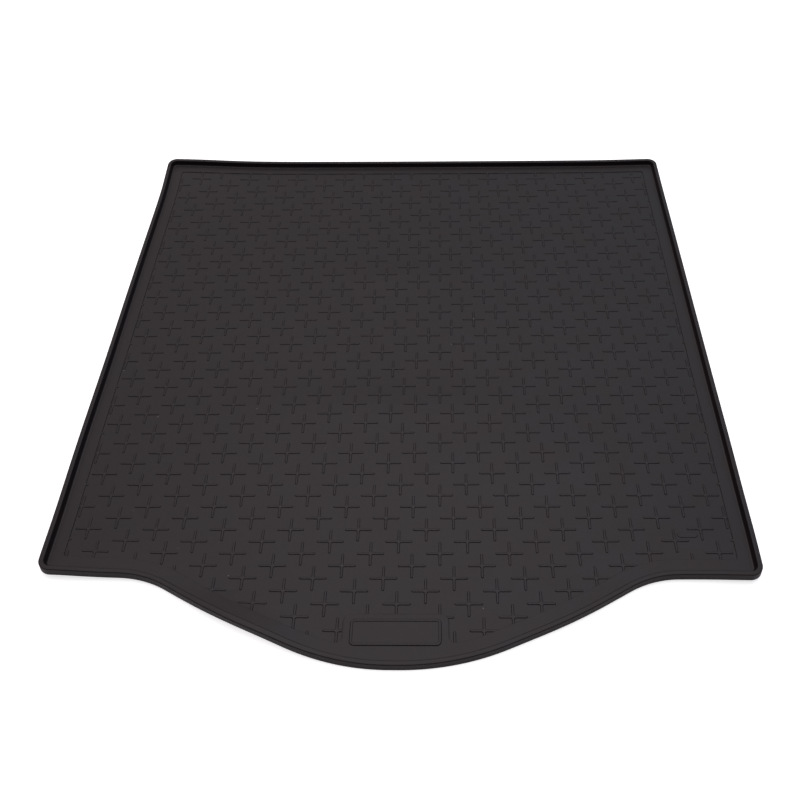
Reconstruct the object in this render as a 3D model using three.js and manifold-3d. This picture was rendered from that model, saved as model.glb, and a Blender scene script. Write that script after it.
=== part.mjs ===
// Car boot liner: one moulded rubber tray with a raised rim, a sunk floor field full of small raised
// crosses, and a bare framed panel on the nose that reaches over the boot sill.
// Millimetres, +Z up, +Y towards the back of the seats. The origin is under the middle of the tray.
import * as THREE from "three";
import { mergeVertices } from "three/addons/utils/BufferGeometryUtils.js";
import Module from "manifold-3d";

const wasm = await Module();
wasm.setup();

// Plan of the tray
const width = 1030;
const sideLength = 992; // back edge to the two front shoulders
const noseDepth = 133; // shoulders to the tip of the nose
const shoulderLedge = 156.5; // from each side of the tray in to where its nose begins
const hipRun = 112; // from there in to where the slanted side of the nose bends a little
const hipDepth = 64.5;
const tipHalfWidth = 82.5;
const innerCornerRadius = 8.5;
const shoulderRadius = 140;
const hipRadius = 800;
const tipRadius = 380;

// Section of the sheet and its rim
const sheetThickness = 3;
const rimHeight = 13;
const rimTopWidth = 7.5;
const rimOuterDraft = 1;
const rimInnerDraft = 1.5;
const rimEdgeRadius = 1.6;

// Sunk field and its crosses
const recessDepth = 1.3;
const borderInset = 31.5;
const tipBorderInset = 29.5; // the border comes a little nearer to the rim at the tip
const fieldCornerRadius = 4;
const crossArm = 20;
const crossGap = 20; // from the tip of an arm to the bar that lies across it
const crossWidth = 4.1;
const crossTopGap = 0.05; // how far the crosses stay below the border around the field
const firstCrossFromTip = 95.2;
const shortestStub = 2; // an arm that reaches less than this into the field is left out

// Panel on the nose, and the small bare pad for a mould mark
const panelWidth = 125.2;
const panelHeight = 39.6;
const panelRadius = 7;
const frameBar = 4.4;
const frameHeight = 1.3;
const panelRise = 0.5; // of the bare face inside the frame
const panelFromTip = 52.6; // from the tip of the nose to the middle of the panel
const padMargin = 10;
const padTopMargin = 8;
const padRadius = 12;
const markWidth = 30;
const markHeight = 10;
const markRise = 0.8;
const markFromSide = 95.3;
const markFromShoulder = 72.3;

// Places that follow from the sizes above
const length = sideLength + noseDepth;
const back = length / 2;
const shoulder = back - sideLength;
const tip = -length / 2;
const noseHalfWidth = width / 2 - shoulderLedge;
const fieldFloor = sheetThickness - recessDepth;
const firstCross = tip + firstCrossFromTip;
const rimFoot = rimOuterDraft + rimTopWidth + rimInnerDraft;
const cornerRadius = innerCornerRadius + rimFoot;
const crossPitch = (crossArm + crossGap) / 2; // a row lies one pitch off, shifted by two
const panelY = tip + panelFromTip;

const arcStep = THREE.MathUtils.degToRad(18);
const fineArcStep = THREE.MathUtils.degToRad(5);
const edgeSteps = 2; // flats on each rounded edge of the rim
const overcut = 5; // how far a cutting solid reaches past the face it cuts
const mergeDistance = 1e-4;
const roundingShare = 0.48; // the most of an edge that the rounding at one end may take
const largestEdgeShare = 0.4; // the most of the rim's width that one rounded edge may take

// Corners of the outline before rounding, anticlockwise from the right of the tip.
// A positive turn is a corner that bulges out; the radius is that of its rounding.
function outlineCorners() {
  const right = [
    { x: tipHalfWidth, y: tip, radius: tipRadius, step: fineArcStep },
    { x: noseHalfWidth - hipRun, y: shoulder - hipDepth, radius: hipRadius, step: fineArcStep },
    { x: noseHalfWidth, y: shoulder, radius: shoulderRadius, step: fineArcStep },
    { x: width / 2, y: shoulder, radius: cornerRadius, step: arcStep },
    { x: width / 2, y: back, radius: cornerRadius, step: arcStep },
  ];
  const left = right.map((corner) => ({ ...corner, x: -corner.x })).reverse();
  return [...right, ...left];
}

const direction = (from, to) => new THREE.Vector2(to.x - from.x, to.y - from.y).normalize();
const neighbours = (corners, i) => [
  corners[(i + corners.length - 1) % corners.length],
  corners[(i + 1) % corners.length],
];

// The corners of a curve that runs inside the outline at a steady distance.
function inset(corners, distance, leastRadius) {
  return corners.map((corner, i) => {
    const [before, after] = neighbours(corners, i);
    const arriving = direction(before, corner);
    const leaving = direction(corner, after);
    const turn = arriving.cross(leaving);
    const half = Math.tan(Math.atan2(turn, arriving.dot(leaving)) / 2);
    const x = corner.x + distance * (-arriving.y - half * arriving.x);
    const y = corner.y + distance * (arriving.x - half * arriving.y);
    const radius = Math.max(corner.radius - Math.sign(turn) * distance, leastRadius);
    return { ...corner, x, y, radius };
  });
}

// Rounds each corner with an arc, limited by what its two edges leave.
function rounded(corners) {
  const points = [];
  corners.forEach((corner, i) => {
    const [before, after] = neighbours(corners, i);
    const arriving = direction(before, corner);
    const leaving = direction(corner, after);
    const angle = Math.atan2(arriving.cross(leaving), arriving.dot(leaving));
    const room = roundingShare * Math.min(
      Math.hypot(corner.x - before.x, corner.y - before.y),
      Math.hypot(after.x - corner.x, after.y - corner.y),
    );
    const tangent = Math.min(corner.radius * Math.tan(Math.abs(angle) / 2), room);
    const radius = tangent / Math.tan(Math.abs(angle) / 2);
    const side = Math.sign(angle);
    const centreX = corner.x - arriving.x * tangent - arriving.y * radius * side;
    const centreY = corner.y - arriving.y * tangent + arriving.x * radius * side;
    const start = Math.atan2(-arriving.x * side, arriving.y * side);
    const steps = Math.max(2, Math.ceil(Math.abs(angle) / corner.step));
    for (let k = 0; k <= steps; k++) {
      const at = start + (angle * k) / steps;
      points.push(new THREE.Vector2(centreX + radius * Math.cos(at), centreY + radius * Math.sin(at)));
    }
  });
  return points;
}

// Half section of the rim, as inset from the outline and height, from the outer foot to the inner one.
function rimSection() {
  const points = [[0, 0]];
  const edge = Math.min(rimEdgeRadius, largestEdgeShare * rimTopWidth);
  const crest = rimHeight - edge;
  const outer = rimOuterDraft;
  const inner = rimOuterDraft + rimTopWidth;
  for (let k = 0; k <= edgeSteps; k++) {
    const at = (Math.PI / 2) * (k / edgeSteps);
    points.push([outer + edge * (1 - Math.cos(at)), crest + edge * Math.sin(at)]);
  }
  for (let k = edgeSteps; k >= 0; k--) {
    const at = (Math.PI / 2) * (k / edgeSteps);
    points.push([inner - edge * (1 - Math.cos(at)), crest + edge * Math.sin(at)]);
  }
  points.push([rimFoot, sheetThickness]);
  return points;
}

function solidOf(geometry) {
  const bare = geometry.index ? geometry.toNonIndexed() : geometry.clone();
  bare.deleteAttribute("normal");
  bare.deleteAttribute("uv");
  const merged = mergeVertices(bare, mergeDistance);
  return new wasm.Manifold(new wasm.Mesh({
    numProp: 3,
    vertProperties: merged.attributes.position.array,
    triVerts: new Uint32Array(merged.index.array),
  }));
}

function geometryOf(solid) {
  const mesh = solid.getMesh();
  const positions = new Float32Array(mesh.numVert * 3);
  for (let i = 0; i < mesh.numVert; i++) {
    positions.set(mesh.vertProperties.subarray(i * mesh.numProp, i * mesh.numProp + 3), i * 3);
  }
  const geometry = new THREE.BufferGeometry();
  geometry.setAttribute("position", new THREE.BufferAttribute(positions, 3));
  geometry.setIndex(new THREE.BufferAttribute(new Uint32Array(mesh.triVerts), 1));
  return geometry;
}

function prism(points, bottom, top) {
  const geometry = new THREE.ExtrudeGeometry(new THREE.Shape(points), {
    depth: top - bottom,
    bevelEnabled: false,
    steps: 1,
  });
  geometry.translate(0, 0, bottom);
  return solidOf(geometry);
}

// The tray before its field is sunk: the rim section carried round the outline, closed by two flat faces.
function blankTray(corners) {
  const rings = rimSection().map(([distance, height]) =>
    rounded(inset(corners, distance, innerCornerRadius)).map((p) => new THREE.Vector3(p.x, p.y, height)));
  const count = rings[0].length;
  const positions = rings.flat().flatMap((p) => [p.x, p.y, p.z]);
  const faces = [];
  for (let ring = 0; ring + 1 < rings.length; ring++) {
    for (let i = 0; i < count; i++) {
      const a = ring * count + i;
      const b = ring * count + ((i + 1) % count);
      faces.push(a, b, b + count, a, b + count, a + count);
    }
  }
  const cap = (ring, flip) => {
    const flat = rings[ring].map((p) => new THREE.Vector2(p.x, p.y));
    for (const [a, b, c] of THREE.ShapeUtils.triangulateShape(flat, [])) {
      const face = flip ? [a, c, b] : [a, b, c];
      faces.push(...face.map((k) => ring * count + k));
    }
  };
  cap(0, true);
  cap(rings.length - 1, false);
  const geometry = new THREE.BufferGeometry();
  geometry.setAttribute("position", new THREE.Float32BufferAttribute(positions, 3));
  geometry.setIndex(faces);
  return solidOf(geometry);
}

function roundedBox(centreX, centreY, boxWidth, boxHeight, radius) {
  const corner = (sx, sy) => ({
    x: centreX + (sx * boxWidth) / 2,
    y: centreY + (sy * boxHeight) / 2,
    radius,
    step: arcStep,
  });
  return rounded([corner(1, -1), corner(1, 1), corner(-1, 1), corner(-1, -1)]);
}

function isInside(polygon, x, y) {
  let inside = false;
  polygon.forEach((a, i) => {
    const b = polygon[(i + 1) % polygon.length];
    if (a.y > y !== b.y > y && x < ((b.x - a.x) * (y - a.y)) / (b.y - a.y) + a.x) inside = !inside;
  });
  return inside;
}

// Centres of the crosses. Rows are one pitch apart, and each row is shifted by two pitches.
function crossCentres(field) {
  const reach = crossArm - shortestStub;
  const probes = [[0, 0], [reach, 0], [-reach, 0], [0, reach], [0, -reach]];
  const rows = Math.ceil(length / crossPitch);
  const centres = [];
  for (let row = -rows; row <= rows; row++) {
    for (let column = -rows; column <= rows; column++) {
      const x = crossPitch * (2 * column - row);
      const y = firstCross + crossPitch * (column + 2 * row);
      if (probes.some(([dx, dy]) => isInside(field, x + dx, y + dy))) centres.push([x, y]);
    }
  }
  return centres;
}

// All the crosses as one set of low four-armed ridges. Each is highest at its centre and runs out at
// its four tips, and its foot is carried down below the field's floor.
function crossRidges(centres) {
  const rise = recessDepth - crossTopGap;
  const sunk = recessDepth / 2;
  const spread = (rise + sunk) / rise;
  const elbow = (crossWidth / 2) * spread;
  const arm = crossArm * spread;
  const rim = [];
  for (let quarter = 0; quarter < 4; quarter++) {
    const turn = (quarter * Math.PI) / 2;
    rim.push([arm * Math.cos(turn), arm * Math.sin(turn)]);
    rim.push([
      elbow * Math.SQRT2 * Math.cos(turn + Math.PI / 4),
      elbow * Math.SQRT2 * Math.sin(turn + Math.PI / 4),
    ]);
  }
  const positions = [];
  const faces = [];
  for (const [x, y] of centres) {
    const first = positions.length / 3;
    positions.push(x, y, fieldFloor + rise);
    positions.push(x, y, fieldFloor - sunk);
    rim.forEach(([dx, dy]) => positions.push(x + dx, y + dy, fieldFloor - sunk));
    rim.forEach((_, i) => {
      const a = first + 2 + i;
      const b = first + 2 + ((i + 1) % rim.length);
      faces.push(first, a, b, first + 1, b, a);
    });
  }
  const geometry = new THREE.BufferGeometry();
  geometry.setAttribute("position", new THREE.Float32BufferAttribute(positions, 3));
  geometry.setIndex(faces);
  return solidOf(geometry);
}

// Flat pad at the border's level that carries the framed panel and runs into the border in front.
function panelPad() {
  const padTop = panelY + panelHeight / 2 + padTopMargin;
  const padBottom = tip + rimFoot;
  const points = roundedBox(
    0,
    (padTop + padBottom) / 2,
    panelWidth + 2 * padMargin,
    padTop - padBottom,
    padRadius,
  );
  return prism(points, -overcut, rimHeight + 2 * overcut);
}

// The raised frame and the bare panel inside it, which stands a little over the pad.
function panelFrame() {
  const bottom = sheetThickness / 2;
  const top = sheetThickness + frameHeight;
  const outer = roundedBox(0, panelY, panelWidth, panelHeight, panelRadius);
  const inner = roundedBox(
    0,
    panelY,
    panelWidth - 2 * frameBar,
    panelHeight - 2 * frameBar,
    panelRadius - frameBar,
  );
  return prism(outer, bottom, top).subtract(prism(inner, sheetThickness + panelRise, top + overcut));
}

// Corners of the field's border, which runs beside the outline and comes nearer to it at the tip.
function fieldCorners(corners) {
  const nearer = borderInset - tipBorderInset;
  return inset(corners, borderInset, fieldCornerRadius).map((corner, i) =>
    (corners[i].y === tip ? { ...corner, y: corner.y - nearer } : corner));
}

// The space taken out of the sheet to sink the field, with the crosses, the pad and the mark left standing.
function fieldCutter(corners) {
  const field = rounded(fieldCorners(corners));
  const markBody = roundedBox(
    width / 2 - markFromSide,
    shoulder + markFromShoulder,
    markWidth,
    markHeight,
    markHeight / 2,
  );
  return prism(field, fieldFloor, rimHeight + overcut)
    .subtract(panelPad())
    .subtract(crossRidges(crossCentres(field)))
    .subtract(prism(markBody, -overcut, fieldFloor + markRise));
}

function bootLiner() {
  const corners = outlineCorners();
  const solid = blankTray(corners).subtract(fieldCutter(corners)).add(panelFrame());
  const material = new THREE.MeshStandardMaterial({ color: 0x393536, roughness: 0.7, metalness: 0 });
  const mesh = new THREE.Mesh(geometryOf(solid), material);
  mesh.name = "boot_liner";
  return mesh;
}

const liner = new THREE.Group();
liner.add(bootLiner());

export default liner;
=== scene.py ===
# %% [markdown]
# # A car boot liner
# A boot liner is one piece of rubber, pressed in a mould: a shallow tray whose rim keeps spills and mud off
# the carpet, with a nose in front that reaches over the sill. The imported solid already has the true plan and
# section, with its crosses as simple ridges. This lesson models the same tray again as one fine mesh, with
# round edges and even bars, and gives it the satin look of black rubber.

import math

import bpy
import numpy as np
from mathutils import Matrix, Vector, noise
from mathutils.geometry import delaunay_2d_cdt


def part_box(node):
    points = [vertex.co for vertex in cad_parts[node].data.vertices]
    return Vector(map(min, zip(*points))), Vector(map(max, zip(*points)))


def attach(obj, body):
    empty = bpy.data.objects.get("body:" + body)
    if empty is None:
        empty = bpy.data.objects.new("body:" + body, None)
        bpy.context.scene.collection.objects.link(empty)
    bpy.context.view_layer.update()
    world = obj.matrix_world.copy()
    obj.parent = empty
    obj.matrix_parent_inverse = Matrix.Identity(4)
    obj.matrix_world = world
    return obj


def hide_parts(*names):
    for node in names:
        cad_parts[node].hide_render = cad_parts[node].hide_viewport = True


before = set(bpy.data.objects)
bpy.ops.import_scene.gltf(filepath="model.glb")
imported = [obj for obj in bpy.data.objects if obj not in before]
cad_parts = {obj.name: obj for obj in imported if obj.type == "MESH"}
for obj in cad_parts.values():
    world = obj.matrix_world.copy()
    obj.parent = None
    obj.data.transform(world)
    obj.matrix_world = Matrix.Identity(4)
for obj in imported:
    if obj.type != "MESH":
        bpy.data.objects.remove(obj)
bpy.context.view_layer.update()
MM = 0.001

low, high = [np.array(corner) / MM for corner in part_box("boot_liner")]
width, length, rim_height = high - low
print(f"the solid is {width:.0f} x {length:.0f} x {rim_height:.0f} mm")

# %% [markdown]
# ## The plan of the tray
# The outline is a ring of corners, each with the radius that rounds it. A corner list is easy to read and to
# change, and insetting it gives every parallel line of the tray: the rim's edges, its foot and the line that
# ends the patterned field. A drawn curve would look the same once, but its parallel lines would need fitting.

# %% Corners of the outline, in millimetres
side_length = 992
shoulder_ledge = 156.5
hip_run = 112
hip_depth = 64.5
tip_half_width = 82.5
shoulder_radius = 140
hip_radius = 800
tip_radius = 380
corner_radius = 18.5
run_step = 18  # the longest straight edge, so that the sheet can bend

back = high[1]
tip = low[1]
shoulder = back - side_length
nose_half_width = width / 2 - shoulder_ledge


def outline_corners():
    """Corners anticlockwise from the right of the tip, as x, y, radius and steps in the arc."""
    right = [
        (tip_half_width, tip, tip_radius, 18),
        (nose_half_width - hip_run, shoulder - hip_depth, hip_radius, 8),
        (nose_half_width, shoulder, shoulder_radius, 14),
        (width / 2, shoulder, corner_radius, 12),
        (width / 2, back, corner_radius, 12),
    ]
    left = [(-x, y, radius, steps) for x, y, radius, steps in reversed(right)]
    return right + left


def bends(corners):
    """For each corner, the directions of its two edges and the turn between them."""
    points = np.array([corner[:2] for corner in corners])
    edges = np.roll(points, -1, axis=0) - points
    leaving = edges / np.linalg.norm(edges, axis=1)[:, None]
    arriving = np.roll(leaving, 1, axis=0)
    cross = arriving[:, 0] * leaving[:, 1] - arriving[:, 1] * leaving[:, 0]
    turn = np.arctan2(cross, np.sum(arriving * leaving, axis=1))
    return points, arriving, leaving, turn


def inset(corners, distance, least_radius=3.0):
    """The same ring of corners, moved inwards by a steady distance."""
    points, arriving, _, turn = bends(corners)
    normal = np.stack([-arriving[:, 1], arriving[:, 0]], axis=1)
    moved = points + distance * (normal - np.tan(turn / 2)[:, None] * arriving)
    radii = [
        max(corner[2] - math.copysign(distance, angle), least_radius)
        for corner, angle in zip(corners, turn)
    ]
    return [(x, y, radius, corner[3]) for (x, y), radius, corner in zip(moved, radii, corners)]


def rounded(corners, run_counts=None):
    """The closed line round the corners, with an arc at each and even steps between the arcs."""
    points, arriving, leaving, turn = bends(corners)
    arcs = []
    for (x, y, radius, steps), a, angle in zip(corners, arriving, turn):
        tangent = radius * math.tan(abs(angle) / 2)
        side = math.copysign(1, angle)
        centre = np.array([x, y]) - a * tangent + side * radius * np.array([-a[1], a[0]])
        start = math.atan2(-a[0] * side, a[1] * side)
        at = start + angle * np.linspace(0, 1, steps + 1)
        arcs.append(centre + radius * np.stack([np.cos(at), np.sin(at)], axis=1))
    if run_counts is None:
        run_counts = [
            max(1, round(np.linalg.norm(after[0] - arc[-1]) / run_step))
            for arc, after in zip(arcs, arcs[1:] + arcs[:1])
        ]
    line = []
    for arc, after, count in zip(arcs, arcs[1:] + arcs[:1], run_counts):
        line.extend(arc)
        share = np.arange(1, count)[:, None] / count
        line.extend(arc[-1] + share * (after[0] - arc[-1]))
    return np.array(line), run_counts


corners = outline_corners()
outer_line, run_counts = rounded(corners)
print(f"the outline is a closed line of {len(outer_line)} points")

# %% [markdown]
# ## The section of the rim
# Cut across, the rim is a low wall with soft edges, and a fillet where it meets the sheet. Each point of that
# section is an inset from the outline and a height, so a ring of the tray is the outline, inset and lifted.
# Bevelling a boxy mesh afterwards would be quicker to write, but a section gives each radius its own size.

# %% Points of the rim's section
sheet = 3.0
rim_outer_draft = 1.0
rim_top_width = 7.5
rim_inner_draft = 1.5
edge_radius = 1.7
sole_radius = 0.9
fillet_radius = 2.6
fillet_start = 187  # degrees: the fillet begins on the leaning wall
sole_steps = 3
crest_steps = 6
fillet_steps = 5


def arc_points(centre, radius, start, end, steps):
    """Points of an arc from one angle to another, in degrees."""
    at = np.radians(np.linspace(start, end, steps + 1))
    return [(centre[0] + radius * math.cos(t), centre[1] + radius * math.sin(t)) for t in at]


def rim_section():
    crest = rim_height - edge_radius
    outer = rim_outer_draft
    inner = rim_outer_draft + rim_top_width
    foot = inner + rim_inner_draft
    fillet_centre = (foot + fillet_radius, sheet + fillet_radius)
    section = arc_points((sole_radius, sole_radius), sole_radius, 270, 180, sole_steps)
    section += arc_points((outer + edge_radius, crest), edge_radius, 180, 90, crest_steps)
    section += arc_points((inner - edge_radius, crest), edge_radius, 90, 0, crest_steps)
    section += arc_points(fillet_centre, fillet_radius, fillet_start, 270, fillet_steps)
    return section


section = rim_section()
rings = [rounded(inset(corners, distance), run_counts)[0] for distance, _ in section]
ring_size = len(rings[0])
floor_edge = section[-1][0]
print(f"the rim's section has {len(section)} points and ends {floor_edge:.1f} mm inside the outline")

# %% [markdown]
# ## The line round the patterned field
# The floor between the crosses lies a little lower than the margin. Its border runs parallel to the outline
# and steps round a flat pad on the nose. The parallel part comes from the same corners, and the detour is
# spliced in as arcs. Cutting one shape from another with a Boolean would work too, but would lose the even
# order of the points, and the walls are built from that order.

# %% Border of the field with its detour round the pad
border_inset = 31.5
tip_border_inset = 29.5  # the border comes a little nearer to the rim at the tip
border_radius = 4
panel_width = 125.2
panel_height = 39.6
panel_from_tip = 52.6  # to the panel's middle
pad_margin = 10
pad_top_margin = 8
pad_radius = 12
pad_foot_radius = 8

panel_y = tip + panel_from_tip
pad_half = panel_width / 2 + pad_margin
pad_top = panel_y + panel_height / 2 + pad_top_margin


def border_corners(least_radius=3.0):
    """The corners of the outline, moved inwards to the border, and a little less far at the tip."""
    nearer = border_inset - tip_border_inset
    return [
        (x, y - nearer if corner[1] == tip else y, radius, steps)
        for (x, y, radius, steps), corner in zip(inset(corners, border_inset, least_radius), corners)
    ]


def pad_detour():
    """The way round the pad, from the border on its left to the border on its right."""
    tip_corner = border_corners()[0]
    radius = tip_corner[2]
    reach = pad_half + pad_foot_radius
    turn = bends(border_corners())[3]
    tangent = radius * math.tan(abs(turn[0]) / 2)
    centre_x = tip_corner[0] - tangent
    lean = math.asin((reach - centre_x) / (radius - pad_foot_radius))
    foot_y = tip_corner[1] + radius - (radius - pad_foot_radius) * math.cos(lean)
    top_centre = (pad_half - pad_radius, pad_top - pad_radius)
    right = arc_points(top_centre, pad_radius, 90, 0, steps=6)
    foot_end = 270 + math.degrees(lean)
    right += arc_points((reach, foot_y), pad_foot_radius, 180, foot_end, steps=8)
    left = [(-x, y) for x, y in reversed(right)]
    return np.array(left + right)


def field_border():
    line, _ = rounded(border_corners(border_radius))
    detour = pad_detour()
    in_nose = line[:, 1] < shoulder
    kept = line[~(in_nose & (np.abs(line[:, 0]) <= detour[:, 0].max()))]
    first = int(np.argmin(np.where(kept[:, 0] > 0, kept[:, 1], np.inf)))
    return np.concatenate([detour, np.roll(kept, -first, axis=0)])


border = field_border()
print(f"the border of the field is a closed line of {len(border)} points")


def shifted(line, distance):
    """A closed line moved to its left by a small distance, point by point."""
    ahead = np.roll(line, -1, axis=0) - line
    ahead /= np.linalg.norm(ahead, axis=1)[:, None]
    behind = np.roll(ahead, 1, axis=0)
    mean = ahead + behind
    mean /= np.linalg.norm(mean, axis=1)[:, None]
    stretch = np.sum(mean * ahead, axis=1)[:, None]
    return line + distance * np.stack([-mean[:, 1], mean[:, 0]], axis=1) / stretch


def depth_inside(points, line):
    """How deep each point lies inside a closed line. It is negative outside."""
    start, end = line, np.roll(line, -1, axis=0)
    edge = end - start
    edge_squared = np.sum(edge**2, axis=1)
    depths = np.empty(len(points))
    block = 4000  # points at a time, to save memory
    for first in range(0, len(points), block):
        p = points[first:first + block, None, :]
        along = np.clip(np.sum((p - start) * edge, axis=2) / edge_squared, 0, 1)
        distance = np.linalg.norm(p - start - along[..., None] * edge, axis=2).min(axis=1)
        spans = (start[:, 1] > p[..., 1]) != (end[:, 1] > p[..., 1])
        rise = np.where(edge[:, 1] == 0, 1, edge[:, 1])
        crossing = start[:, 0] + edge[:, 0] * (p[..., 1] - start[:, 1]) / rise
        inside = np.sum(spans & (p[..., 0] < crossing), axis=1) % 2 == 1
        depths[first:first + block] = np.where(inside, distance, -distance)
    return depths


# %% [markdown]
# ## The crosses
# The pattern is a lattice of one kind of cross. From one cross to the next is two pitches across and one
# along, which interlocks the crosses like a pinwheel and leaves no straight way for a load to slide. The wall
# of a raised bar isn't upright: it leans, and its top edge is soft. So a bar is a few outlines inside each
# other, each a bit further in and higher up. An array of instances would repeat one cross cheaply, but those
# at the border are cut by it, so here all of them are part of one surface.

# %% Lattice and outline of a cross
recess = 1.3
cross_arm = 20
cross_pitch = 20
squares_per_cross = 5  # squares of one pitch that each cross has to itself
cross_half_width = 2.05
elbow_radius = 1.7
first_cross_from_tip = 95.2
cross_height = 1.05
shortest_stub = 2  # of a bar that the border cuts
crisp_run = [0.0, 0.15, 0.5, 0.8]  # steps in from the foot of a wall, at the border and the small pad
soft_run = [0.0, 0.25, 0.7, 1.05]  # the same for the crosses
wall_rise = [0.0, 0.15, 0.85, 1.0]  # share of the height at each step
end_steps = 5
elbow_steps = 3
fine_bar_points = 8  # along each side of a bar whose cross is at the border

floor = sheet - recess
lattice_y = tip + first_cross_from_tip
elbow = cross_half_width + elbow_radius


def lattice_point(column, row):
    return cross_pitch * (2 * column - row), lattice_y + cross_pitch * (column + 2 * row)


def cross_outline(step_in, fine=False):
    """Outline of a cross round the origin, moved inwards. The fine one has more points along the bars."""
    half = cross_half_width - step_in
    quarter = arc_points((elbow, -elbow), elbow_radius + step_in, 180, 90, elbow_steps)
    end_arc = arc_points((cross_arm - cross_half_width, 0), half, -90, 90, end_steps)
    if fine:
        between = np.linspace(elbow, cross_arm - cross_half_width, fine_bar_points)[1:-1]
        quarter += [(x, -half) for x in between]
        quarter += end_arc
        quarter += [(x, half) for x in reversed(between)]
    else:
        quarter += end_arc
    turned = []
    for turn in range(4):
        cos, sin = round(math.cos(turn * math.pi / 2)), round(math.sin(turn * math.pi / 2))
        turned += [(x * cos - y * sin, x * sin + y * cos) for x, y in quarter]
    return np.array(turned)


def cross_depth(dx, dy):
    """How deep a point lies inside the cross whose centre is at the origin. It is negative outside."""
    far = np.maximum(np.abs(dx), np.abs(dy))
    near = np.minimum(np.abs(dx), np.abs(dy))
    past_end = np.maximum(far - (cross_arm - cross_half_width), 0)
    bar = cross_half_width - np.hypot(past_end, near)
    corner = np.hypot(far - elbow, near - elbow) - elbow_radius
    return np.where(far < elbow, corner, bar)


def cross_centres():
    """Columns and rows of the lattice whose cross reaches into the field."""
    reach = int(length / cross_pitch)
    column, row = np.meshgrid(np.arange(-reach, reach), np.arange(-reach, reach))
    column, row = column.ravel(), row.ravel()
    centre = np.stack(lattice_point(column, row), axis=1)
    near = np.all(np.abs(centre) < [width / 2, length / 2], axis=1)
    column, row, centre = column[near], row[near], centre[near]
    arm = cross_arm - shortest_stub
    probes = [(0, 0), (arm, 0), (-arm, 0), (0, arm), (0, -arm)]
    depths = np.array([depth_inside(centre + probe, border) for probe in probes])
    reached = depths.max(axis=0) > 0
    whole = depths.min(axis=0) > 2 * shortest_stub
    return column[reached], row[reached], centre[reached], whole[reached]


columns, rows, centres, whole = cross_centres()
kept_crosses = set(zip(columns.tolist(), rows.tolist()))
print(f"{len(centres)} crosses, {int((~whole).sum())} of them cut by the border or close to it")

# %% [markdown]
# ## The panel on the nose and the small pad
# A raised frame with round corners stands on the nose, where a maker puts a name plate. Here its inside is
# left plain. Beside the right ledge lies a small oval pad. Both are described by one formula, the distance to
# a rounded box, which gives the height of any point and also the outlines to draw.

# %% Rounded boxes
panel_radius = 7
frame_bar = 4.4
frame_height = 1.3
frame_run = [0.0, 0.25, 0.8, 1.2]  # the steps of its outer wall
panel_rise = 0.5  # of the bare face inside the frame
mark_width = 30
mark_height = 10
mark_rise = 0.8
mark_centre = (width / 2 - 95.3, shoulder + 72.3)


def box_depth(points, centre, size, radius):
    """How deep each point lies inside a rounded box."""
    q = np.abs(points - np.array(centre)) - np.array(size) / 2 + radius
    outside = np.hypot(np.maximum(q[:, 0], 0), np.maximum(q[:, 1], 0))
    return radius - outside - np.minimum(q.max(axis=1), 0)


def box_line(centre, size, radius, step_in):
    """Closed outline of a rounded box, moved inwards."""
    half = np.array(size) / 2 - radius
    line = []
    for start, sx, sy in ((-90, 1, -1), (0, 1, 1), (90, -1, 1), (180, -1, -1)):
        corner = (centre[0] + sx * half[0], centre[1] + sy * half[1])
        line += arc_points(corner, radius - step_in, start, start + 90, steps=8)
    return np.array(line)


panel_size = (panel_width, panel_height)
mark_size = (mark_width, mark_height)

# %% [markdown]
# ## The height of the floor
# Everything on the floor is a raised shape with the same kind of wall: nothing at its foot, full height about
# a millimetre further in. Where two shapes meet, the higher one wins. So one function can give the height at
# any point, and wherever bars run into the margin they join it cleanly.

# %% Height at any point of the floor


def wall(depth, run):
    """Height of a moulded wall, from 0 at its foot to 1 on its top, for a depth inside its foot line."""
    return np.interp(depth, run, wall_rise)


def crosses_height(points):
    """Height of the crosses, from 0 to 1, at each point."""
    x = points[:, 0] / cross_pitch
    y = (points[:, 1] - lattice_y) / cross_pitch
    column = np.rint((2 * x + y) / squares_per_cross).astype(int)
    row = np.rint((2 * y - x) / squares_per_cross).astype(int)
    centre_x, centre_y = lattice_point(column, row)
    kept = np.array([pair in kept_crosses for pair in zip(column.tolist(), row.tolist())])
    depth = cross_depth(points[:, 0] - centre_x, points[:, 1] - centre_y)
    return np.where(kept, wall(depth, soft_run), 0)


def floor_height(points):
    margin = wall(-depth_inside(points, border), crisp_run)
    mark = wall(box_depth(points, mark_centre, mark_size, mark_height / 2), crisp_run)
    height = floor + np.maximum(recess * margin, cross_height * crosses_height(points))
    height = np.maximum(height, floor + mark_rise * mark)
    from_outside = box_depth(points, (0, panel_y), panel_size, panel_radius)
    frame = frame_height * wall(from_outside, frame_run)
    hollow = (frame_height - panel_rise) * (1 - wall(frame_bar - from_outside, crisp_run))
    return height + frame - hollow


# %% [markdown]
# ## One surface for the whole floor
# The outlines of all these walls are laid in the plane and joined by a constrained Delaunay triangulation,
# which keeps every given edge and fills the rest with triangles. That puts points only where the surface
# bends. A displaced grid of the same sharpness would need millions of faces.

# %% Triangulate the outlines
inside_only = 1  # the mode of the triangulation that leaves out what lies beyond the outer loop
merge_distance = 1e-5


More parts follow.
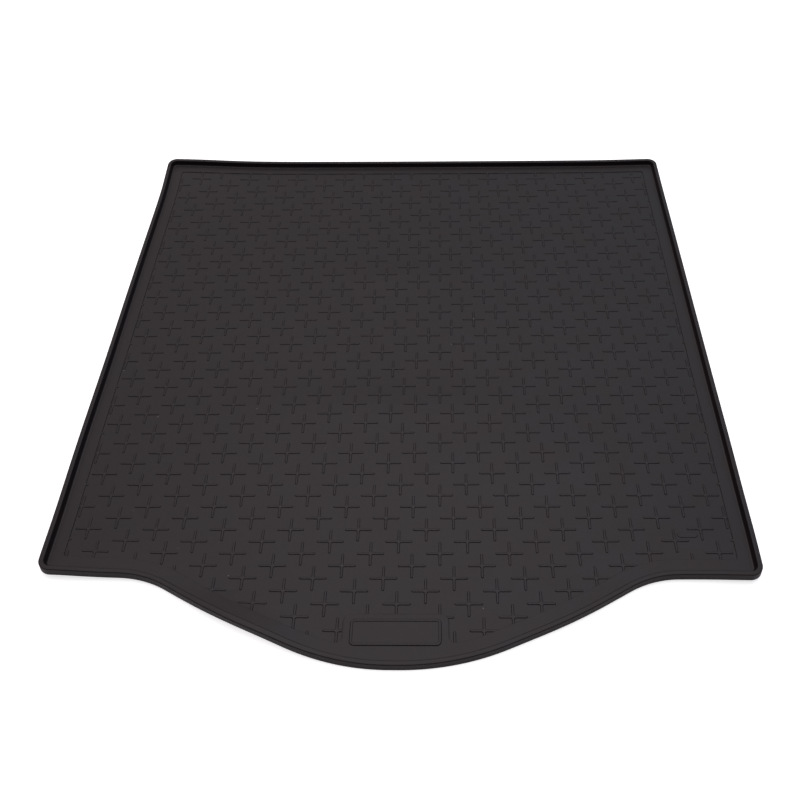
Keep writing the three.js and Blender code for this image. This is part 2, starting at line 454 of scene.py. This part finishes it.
class Plan:
    """Points and edges that the triangulation has to keep."""

    def __init__(self):
        self.points = []
        self.edges = []

    def add_loop(self, line):
        self.add_run(line)
        self.edges.append((len(self.points) - 1, len(self.points) - len(line)))

    def add_run(self, line):
        first = len(self.points)
        self.points.extend(map(tuple, line))
        self.edges.extend((first + i, first + i + 1) for i in range(len(line) - 1))

    def add_part_of_loop(self, line, kept):
        """Only the stretches of a loop whose points are kept."""
        start = int(np.argmin(kept))
        line, kept = np.roll(line, -start, axis=0), np.roll(kept, -start)
        changes = np.flatnonzero(np.diff(kept.astype(int))) + 1
        for piece, keep in zip(np.split(line, changes), np.split(kept, changes)):
            if keep[0]:
                self.add_run(piece)

    def triangles(self):
        flat = [Vector(point) for point in self.points]
        found = delaunay_2d_cdt(flat, self.edges, [], inside_only, merge_distance)
        points, _, faces, sources = found[:4]
        return np.array([tuple(point) for point in points]), faces, sources


def floor_plan():
    plan = Plan()
    plan.add_loop(rings[-1])
    for run in frame_run:
        plan.add_loop(box_line((0, panel_y), panel_size, panel_radius, run))
    for run in crisp_run:
        plan.add_loop(shifted(border, -run))
        plan.add_loop(box_line((0, panel_y), panel_size, panel_radius, frame_bar - run))
        plan.add_loop(box_line(mark_centre, mark_size, mark_height / 2, run))
    for run in soft_run:
        plain, fine = cross_outline(run), cross_outline(run, fine=True)
        for centre in centres[whole]:
            plan.add_loop(centre + plain)
        for centre in centres[~whole]:
            line = centre + fine
            plan.add_part_of_loop(line, depth_inside(line, border) > -shortest_stub)
    return plan


floor_points, floor_faces, floor_sources = floor_plan().triangles()
print(f"the floor has {len(floor_points)} points and {len(floor_faces)} triangles")

# %% [markdown]
# ## The way rubber lies
# A liner that has been rolled up for a while doesn't lie quite flat: its corners stay up a little and are
# drawn in, one side of the nose curls, and the sheet has a few low swells. Smooth bumps that move each point
# do this to the whole mesh at once. A cloth simulation could do it as well, but a stiff sheet this flat
# hardly moves, and would lose its detail.

# %% Swells, lifted corners and the curl of the nose
half_width = width / 2
rises = [
    # middle of the rise, its two reaches, the turn of these in degrees, and its height
    ((0, -190), (900, 135), 0, 3.3),
    ((0, 110), (900, 180), 0, 1.3),
    ((-20, -110), (190, 45), 0, 1.9),
    ((240, -230), (190, 90), 0, 1.8),
    ((-20, 210), (110, 40), 0, 1.6),
    ((-half_width, 260), (260, 190), 0, 1.7),
    ((half_width, 340), (170, 190), 0, 2.2),
    ((half_width, 0), (160, 160), 0, 1.2),
    ((-half_width, back), (130, 75), 0, 8.0),
    ((-half_width, back), (300, 60), 0, 2.0),
    ((half_width, back), (80, 70), 0, 2.4),
    ((-half_width, shoulder), (150, 75), 0, 9.0),
    ((half_width, shoulder), (120, 80), 0, 5.6),
    ((400, shoulder + 50), (200, 90), 0, 1.9),
    ((-250, shoulder - 60), (100, 40), 0, 2.0),
    ((-205, shoulder - 78), (105, 26), -25, 7.4),
    ((220, shoulder - 60), (120, 55), 0, 2.4),
]
pulls = [
    # middle of the pull, its two reaches, the turn of these, and how far it draws the sheet across and along
    ((-half_width, shoulder), (280, 130), 0, (1.2, 0.0)),
    ((-half_width, shoulder), (65, 65), 0, (2.7, 3.2)),
    ((half_width, shoulder), (75, 60), 0, (-2.4, -3.0)),
    ((-205, shoulder - 78), (105, 40), -25, (0.0, 1.2)),
]
wave_height = 0.15
wave_length = 260
slope_step = 1.0  # millimetres between the two places that give a slope


def bump(points, middle, reach, turn):
    """A soft hill, 1 in its middle, with a reach along each of its two axes."""
    cos, sin = math.cos(math.radians(turn)), math.sin(math.radians(turn))
    x, y = (points - np.array(middle)).T
    along = (x * cos + y * sin) / reach[0]
    across = (y * cos - x * sin) / reach[1]
    return np.exp(-along**2 - across**2)


def lift(points):
    """How far each point of the sheet is off the ground, in millimetres."""
    raised = sum(height * bump(points, middle, reach, turn) for middle, reach, turn, height in rises)
    waves = [noise.noise(Vector((x / wave_length, y / wave_length, 0))) for x, y in points]
    return raised + wave_height * (1 + np.array(waves))


def laid(vertices):
    """The vertices of the flat tray as they lie: drawn along, raised, and leaning with the sheet's slope."""
    flat = vertices[:, :2]
    raised = lift(flat)
    slope = np.stack([lift(flat + step) - raised for step in ((slope_step, 0), (0, slope_step))], axis=1)
    drawn = sum(np.outer(bump(flat, middle, reach, turn), way) for middle, reach, turn, way in pulls)
    lean = vertices[:, 2:] * slope / slope_step
    return np.column_stack([flat + drawn - lean, vertices[:, 2] + raised])


# %% [markdown]
# ## Putting the tray together
# The rim's rings are joined by strips of quads, the floor's triangles close the top, and a second, coarse
# triangulation closes the underside. All of it is one closed mesh.

# %% Build the mesh


def underside_plan():
    """The flat underside, with a loose grid of points so that it can bend."""
    plan = Plan()
    plan.add_loop(rings[0])
    step = 60
    xs = np.arange(-width / 2, width / 2, step)
    ys = np.arange(tip, back, step)
    grid = np.array([(x, y) for x in xs for y in ys])
    inner = depth_inside(grid, rings[0]) > step / 3
    plan.points.extend(map(tuple, grid[inner]))
    return plan


def loop_places(sources, count):
    """Where the triangulation has put the first loop that it was given."""
    place = {}
    for here, origins in enumerate(sources):
        for origin in origins:
            if origin < count:
                place[origin] = here
    return [place[i] for i in range(count)]


def facing(points, faces, up):
    """The faces with their normals turned up or down."""
    turned = []
    for a, b, c in faces:
        first, second = points[b] - points[a], points[c] - points[a]
        is_up = first[0] * second[1] > first[1] * second[0]
        turned.append((a, b, c) if is_up == up else (a, c, b))
    return turned


def tray_mesh():
    vertices = []
    faces = []
    under_points, under_faces, under_sources = underside_plan().triangles()
    vertices.append(np.column_stack([under_points, np.zeros(len(under_points))]))
    faces += facing(under_points, under_faces, up=False)
    ring_at = [loop_places(under_sources, ring_size)]
    start = len(under_points)
    for line, (_, height) in zip(rings[1:-1], section[1:-1]):
        vertices.append(np.column_stack([line, np.full(ring_size, height)]))
        ring_at.append(list(range(start, start + ring_size)))
        start += ring_size
    vertices.append(np.column_stack([floor_points, floor_height(floor_points)]))
    faces += [tuple(start + i for i in face) for face in facing(floor_points, floor_faces, up=True)]
    ring_at.append([start + i for i in loop_places(floor_sources, ring_size)])
    for lower, upper in zip(ring_at, ring_at[1:]):
        for i in range(ring_size):
            j = (i + 1) % ring_size
            faces.append((lower[i], lower[j], upper[j], upper[i]))
    vertices = laid(np.concatenate(vertices))
    mesh = bpy.data.meshes.new("boot_liner_tray")
    mesh.from_pydata((vertices * MM).tolist(), [], faces)
    mesh.validate()
    return mesh


tray = bpy.data.objects.new("boot_liner_tray", tray_mesh())
bpy.context.scene.collection.objects.link(tray)
tray.data.shade_smooth()
even = tray.modifiers.new("even_shading", "WEIGHTED_NORMAL")
even.mode = "FACE_AREA"
even.weight = 50
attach(tray, "root")
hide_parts("boot_liner")
print(f"the tray has {len(tray.data.polygons)} faces")

# %% [markdown]
# ## The skin of moulded rubber
# Black rubber isn't one colour. Its skin copies the fine spark grain of the mould, and where it cooled
# unevenly it is a shade warmer or cooler. A few specks of dust lie on it. Image textures could carry this,
# but they would blur up close. Noise in the object's own space stays sharp and covers the rim without seams.
# The grain is a node group, so that the top and the underside can share it at different sizes and depths.

# %% Shared node group for the moulded grain
blotch_size = 60  # millimetres
dust_spacing = 40  # millimetres between the places where a speck may lie
dust_share = 0.04  # part of those places that have one
dust_size = 1.0  # radius of the largest


def grain_group():
    group = bpy.data.node_groups.new("moulded grain", "ShaderNodeTree")
    sockets = group.interface
    inputs = {"Grain Size": 0.8, "Grain Depth": 0.1, "Dull": 0.55, "Dull Change": 0.08}
    for label, usual in inputs.items():
        sockets.new_socket(label, in_out="INPUT", socket_type="NodeSocketFloat").default_value = usual
    sockets.new_socket("Normal", in_out="OUTPUT", socket_type="NodeSocketVector")
    for label in ("Roughness", "Blotch", "Dust"):
        sockets.new_socket(label, in_out="OUTPUT", socket_type="NodeSocketFloat")
    nodes, links = group.nodes, group.links
    given = nodes.new("NodeGroupInput")
    result = nodes.new("NodeGroupOutput")
    place = nodes.new("ShaderNodeTexCoord")

    millimetres = nodes.new("ShaderNodeVectorMath")
    millimetres.operation = "SCALE"
    millimetres.inputs["Scale"].default_value = 1 / MM
    links.new(place.outputs["Object"], millimetres.inputs[0])

    per_size = nodes.new("ShaderNodeMath")
    per_size.operation = "DIVIDE"
    per_size.inputs[0].default_value = 1
    links.new(given.outputs["Grain Size"], per_size.inputs[1])

    grain = nodes.new("ShaderNodeTexNoise")
    grain.inputs["Detail"].default_value = 3
    grain.inputs["Roughness"].default_value = 0.6
    links.new(millimetres.outputs["Vector"], grain.inputs["Vector"])
    links.new(per_size.outputs[0], grain.inputs["Scale"])

    relief = nodes.new("ShaderNodeBump")
    relief.inputs["Distance"].default_value = MM
    links.new(given.outputs["Grain Depth"], relief.inputs["Strength"])
    links.new(grain.outputs["Fac"], relief.inputs["Height"])

    blotch = nodes.new("ShaderNodeTexNoise")
    blotch.inputs["Scale"].default_value = 1 / blotch_size
    blotch.inputs["Detail"].default_value = 5
    blotch.inputs["Roughness"].default_value = 0.68
    links.new(millimetres.outputs["Vector"], blotch.inputs["Vector"])

    centred = nodes.new("ShaderNodeMath")
    centred.operation = "SUBTRACT"
    centred.inputs[1].default_value = 0.5
    links.new(blotch.outputs["Fac"], centred.inputs[0])

    change = nodes.new("ShaderNodeMath")
    change.operation = "MULTIPLY_ADD"
    links.new(centred.outputs[0], change.inputs[0])
    links.new(given.outputs["Dull Change"], change.inputs[1])
    links.new(given.outputs["Dull"], change.inputs[2])

    cell = nodes.new("ShaderNodeTexVoronoi")
    cell.voronoi_dimensions = "2D"
    cell.inputs["Scale"].default_value = 1 / dust_spacing
    links.new(millimetres.outputs["Vector"], cell.inputs["Vector"])

    chance = nodes.new("ShaderNodeSeparateColor")
    links.new(cell.outputs["Color"], chance.inputs[0])

    # a cell has a speck if its random number lies in the top share, and a larger one the higher it lies
    size = nodes.new("ShaderNodeMath")
    size.operation = "MULTIPLY_ADD"
    size.inputs[1].default_value = dust_size / dust_share / dust_spacing
    size.inputs[2].default_value = dust_size * (1 - 1 / dust_share) / dust_spacing
    links.new(chance.outputs["Red"], size.inputs[0])

    speck = nodes.new("ShaderNodeMath")
    speck.operation = "LESS_THAN"
    links.new(cell.outputs["Distance"], speck.inputs[0])
    links.new(size.outputs[0], speck.inputs[1])

    links.new(speck.outputs[0], result.inputs["Dust"])
    links.new(relief.outputs["Normal"], result.inputs["Normal"])
    links.new(change.outputs[0], result.inputs["Roughness"])
    links.new(blotch.outputs["Fac"], result.inputs["Blotch"])
    return group


moulded_grain = grain_group()
print("node group:", moulded_grain.name)

# %% [markdown]
# ## Two finishes from one rubber
# The top is satin and the underside is duller, because the lower half of such a mould is left coarser to
# grip the carpet. Both take their colour from a two-colour ramp driven by the blotches.

# %% Materials
dust_colour = (0.12, 0.115, 0.11, 1)
cool_below = 0.35  # values of the blotches between which cool turns to warm
warm_above = 0.65
facing_down = -0.9  # a face whose normal dips below this belongs to the underside


def socket_named(sockets, name):
    """The socket of that name that the node really uses. A mix node has hidden ones of the same name."""
    return next(socket for socket in sockets if socket.name == name and socket.enabled)


def rubber(name, cool, warm, dull, grain_size, grain_depth):
    material = bpy.data.materials.new(name)
    material.use_nodes = True
    nodes, links = material.node_tree.nodes, material.node_tree.links
    shader = nodes["Principled BSDF"]
    shader.inputs["Specular IOR Level"].default_value = 0.31
    shader.inputs["Specular Tint"].default_value = (1.0, 0.94, 0.965, 1)
    grain = nodes.new("ShaderNodeGroup")
    grain.node_tree = moulded_grain
    grain.inputs["Grain Size"].default_value = grain_size
    grain.inputs["Grain Depth"].default_value = grain_depth
    grain.inputs["Dull"].default_value = dull
    tone = nodes.new("ShaderNodeValToRGB")
    tone.color_ramp.elements[0].position = cool_below
    tone.color_ramp.elements[0].color = (*cool, 1)
    tone.color_ramp.elements[1].position = warm_above
    tone.color_ramp.elements[1].color = (*warm, 1)
    links.new(grain.outputs["Blotch"], tone.inputs["Fac"])
    dusted = nodes.new("ShaderNodeMix")
    dusted.data_type = "RGBA"
    socket_named(dusted.inputs, "B").default_value = dust_colour
    links.new(grain.outputs["Dust"], socket_named(dusted.inputs, "Factor"))
    links.new(tone.outputs["Color"], socket_named(dusted.inputs, "A"))
    links.new(socket_named(dusted.outputs, "Result"), shader.inputs["Base Color"])
    links.new(grain.outputs["Roughness"], shader.inputs["Roughness"])
    links.new(grain.outputs["Normal"], shader.inputs["Normal"])
    return material


satin = rubber(
    "satin rubber",
    cool=(0.0089, 0.0064, 0.0091),
    warm=(0.0119, 0.0066, 0.0073),
    dull=0.48,
    grain_size=0.9,
    grain_depth=0.12,
)
coarse = rubber(
    "coarse rubber",
    cool=(0.011, 0.010, 0.011),
    warm=(0.013, 0.0115, 0.0115),
    dull=0.75,
    grain_size=2.2,
    grain_depth=0.35,
)
tray.data.materials.append(satin)
tray.data.materials.append(coarse)
for face in tray.data.polygons:
    face.material_index = 1 if face.normal.z < facing_down else 0
print("materials:", satin.name, "and", coarse.name)

# %% [markdown]
# ## Floor and light
# A liner is shown on white. The floor is a plain pale plane, brightened for the camera so that it reads as
# pure white while the liner's soft shadow stays, and brightened a little for what mirrors it. The light is a
# dome whose bright top leans to the back over a dark horizon, and one large lamp overhead. The flat rubber
# mirrors the dome's bright top and looks grey, while every wall that faces the camera mirrors the dark
# horizon. An even white dome would wash those lines out.

# %% White floor, world and lamp
floor_size = 12
floor_level = -0.0004  # just under the ground, so that it never meets the underside
floor_glow = 0.7  # what the camera sees on top of the light that falls on the floor
mirrored_share = 0.12  # the part of that glow that shows in a mirroring surface
dome_lean = 17  # degrees from overhead towards the back
dark_up_to = 0.3  # heights in the leaning dome, whose top is 1
bright_from = 0.9
cool_side = (1, 0, -0.45)  # the direction in which the dome turns cooler
warm_up_to = -0.27  # reaches in that direction between which warm turns to cool
cool_from = -0.07


def white_floor():
    mesh = bpy.data.meshes.new("floor")
    half = floor_size / 2
    ring = [(-half, -half), (half, -half), (half, half), (-half, half)]
    mesh.from_pydata([(x, y, floor_level) for x, y in ring], [], [(0, 1, 2, 3)])
    plane = bpy.data.objects.new("floor", mesh)
    bpy.context.scene.collection.objects.link(plane)
    material = bpy.data.materials.new("white floor")
    material.use_nodes = True
    nodes, links = material.node_tree.nodes, material.node_tree.links
    shader = nodes["Principled BSDF"]
    shader.inputs["Base Color"].default_value = (0.86, 0.8, 0.82, 1)
    shader.inputs["Roughness"].default_value = 0.9
    shader.inputs["Specular IOR Level"].default_value = 0
    path = nodes.new("ShaderNodeLightPath")
    mirrored = nodes.new("ShaderNodeMath")
    mirrored.operation = "MAXIMUM"
    links.new(path.outputs["Is Glossy Ray"], mirrored.inputs[0])
    links.new(path.outputs["Is Transmission Ray"], mirrored.inputs[1])
    seen = nodes.new("ShaderNodeMath")
    seen.operation = "MULTIPLY_ADD"
    seen.inputs[1].default_value = mirrored_share
    links.new(mirrored.outputs[0], seen.inputs[0])
    links.new(path.outputs["Is Camera Ray"], seen.inputs[2])
    glow = nodes.new("ShaderNodeMath")
    glow.operation = "MULTIPLY"
    glow.inputs[1].default_value = floor_glow
    links.new(seen.outputs[0], glow.inputs[0])
    shader.inputs["Emission Color"].default_value = (1, 1, 1, 1)
    links.new(glow.outputs[0], shader.inputs["Emission Strength"])
    mesh.materials.append(material)


def studio_world(horizon, ceiling, warm, cool):
    """A dark horizon that brightens towards the ceiling at the back, and is cooler on the right.
    The dome is what the rubber mirrors, so only the camera sees plain white instead."""
    world = bpy.data.worlds.new("studio")
    bpy.context.scene.world = world
    world.use_nodes = True
    nodes, links = world.node_tree.nodes, world.node_tree.links
    lean = math.radians(dome_lean)
    background = nodes["Background"]
    direction = nodes.new("ShaderNodeTexCoord")
    height = nodes.new("ShaderNodeVectorMath")
    height.operation = "DOT_PRODUCT"
    height.inputs[1].default_value = (0, math.sin(lean), math.cos(lean))
    links.new(direction.outputs["Generated"], height.inputs[0])
    dome = nodes.new("ShaderNodeMapRange")
    dome.interpolation_type = "SMOOTHSTEP"
    dome.inputs["From Min"].default_value = dark_up_to
    dome.inputs["From Max"].default_value = bright_from
    dome.inputs["To Min"].default_value = horizon
    dome.inputs["To Max"].default_value = ceiling
    links.new(height.outputs["Value"], dome.inputs["Value"])
    path = nodes.new("ShaderNodeLightPath")
    brightness = nodes.new("ShaderNodeMix")
    brightness.data_type = "FLOAT"
    links.new(dome.outputs["Result"], brightness.inputs["A"])
    brightness.inputs["B"].default_value = 1
    links.new(path.outputs["Is Camera Ray"], brightness.inputs["Factor"])
    links.new(brightness.outputs["Result"], background.inputs["Strength"])
    side = nodes.new("ShaderNodeVectorMath")
    side.operation = "DOT_PRODUCT"
    side.inputs[1].default_value = cool_side
    links.new(direction.outputs["Generated"], side.inputs[0])
    coolness = nodes.new("ShaderNodeMapRange")
    coolness.interpolation_type = "SMOOTHSTEP"
    coolness.inputs["From Min"].default_value = warm_up_to
    coolness.inputs["From Max"].default_value = cool_from
    links.new(side.outputs["Value"], coolness.inputs["Value"])
    tint = nodes.new("ShaderNodeMix")
    tint.data_type = "RGBA"
    socket_named(tint.inputs, "A").default_value = warm
    socket_named(tint.inputs, "B").default_value = cool
    links.new(coolness.outputs["Result"], socket_named(tint.inputs, "Factor"))
    shown = nodes.new("ShaderNodeMix")
    shown.data_type = "RGBA"
    socket_named(shown.inputs, "B").default_value = (1, 1, 1, 1)
    links.new(path.outputs["Is Camera Ray"], socket_named(shown.inputs, "Factor"))
    links.new(socket_named(tint.outputs, "Result"), socket_named(shown.inputs, "A"))
    links.new(socket_named(shown.outputs, "Result"), background.inputs["Color"])


def soft_lamp(name, place, aim, size, watts):
    lamp = bpy.data.lights.new(name, "AREA")
    lamp.shape = "RECTANGLE"
    lamp.size, lamp.size_y = size
    lamp.energy = watts
    holder = bpy.data.objects.new(name, lamp)
    bpy.context.scene.collection.objects.link(holder)
    holder.location = place
    holder.rotation_euler = (Vector(aim) - Vector(place)).to_track_quat("-Z", "Y").to_euler()


white_floor()
studio_world(horizon=0.02, ceiling=1.01, warm=(0.925, 0.892, 0.862, 1), cool=(0.775, 0.905, 1.0, 1))
soft_lamp("overhead_lamp", place=(0, 0.7, 2.6), aim=(0, 0, 0), size=(2.4, 2.4), watts=26)
print("floor, world and lamp are in place")

# %% [markdown]
# ## The camera
# The view was worked out from the lattice of crosses, which is a ruler laid over the whole floor. The lens is
# slightly long, and the small shift stands for a picture that was cropped off centre.

# %% Camera
lens = 40.275
sensor = 36
picture_width = 800  # pixels
centre_offset = 27.24 / picture_width  # how far the optical centre lies right of the picture's centre
camera_right = 0.06357  # metres from the tray's middle line
camera_behind = 0.58940  # metres from the first cross on that line
camera_above = 1.12356  # metres from the top of the sheet
camera_turn = (40.5201, 0.7866, 0.5451)  # degrees

camera_data = bpy.data.cameras.new("camera")
camera_data.lens = lens
camera_data.sensor_width = sensor
camera_data.sensor_fit = "HORIZONTAL"
camera_data.shift_x = -centre_offset
camera = bpy.data.objects.new("camera", camera_data)
camera.location = (camera_right, lattice_y * MM - camera_behind, camera_above + sheet * MM)
camera.rotation_euler = [math.radians(angle) for angle in camera_turn]
bpy.context.scene.collection.objects.link(camera)
bpy.context.scene.camera = camera
bpy.context.scene.view_settings.view_transform = "Standard"
print(f"camera at {tuple(round(x, 3) for x in camera.location)}")
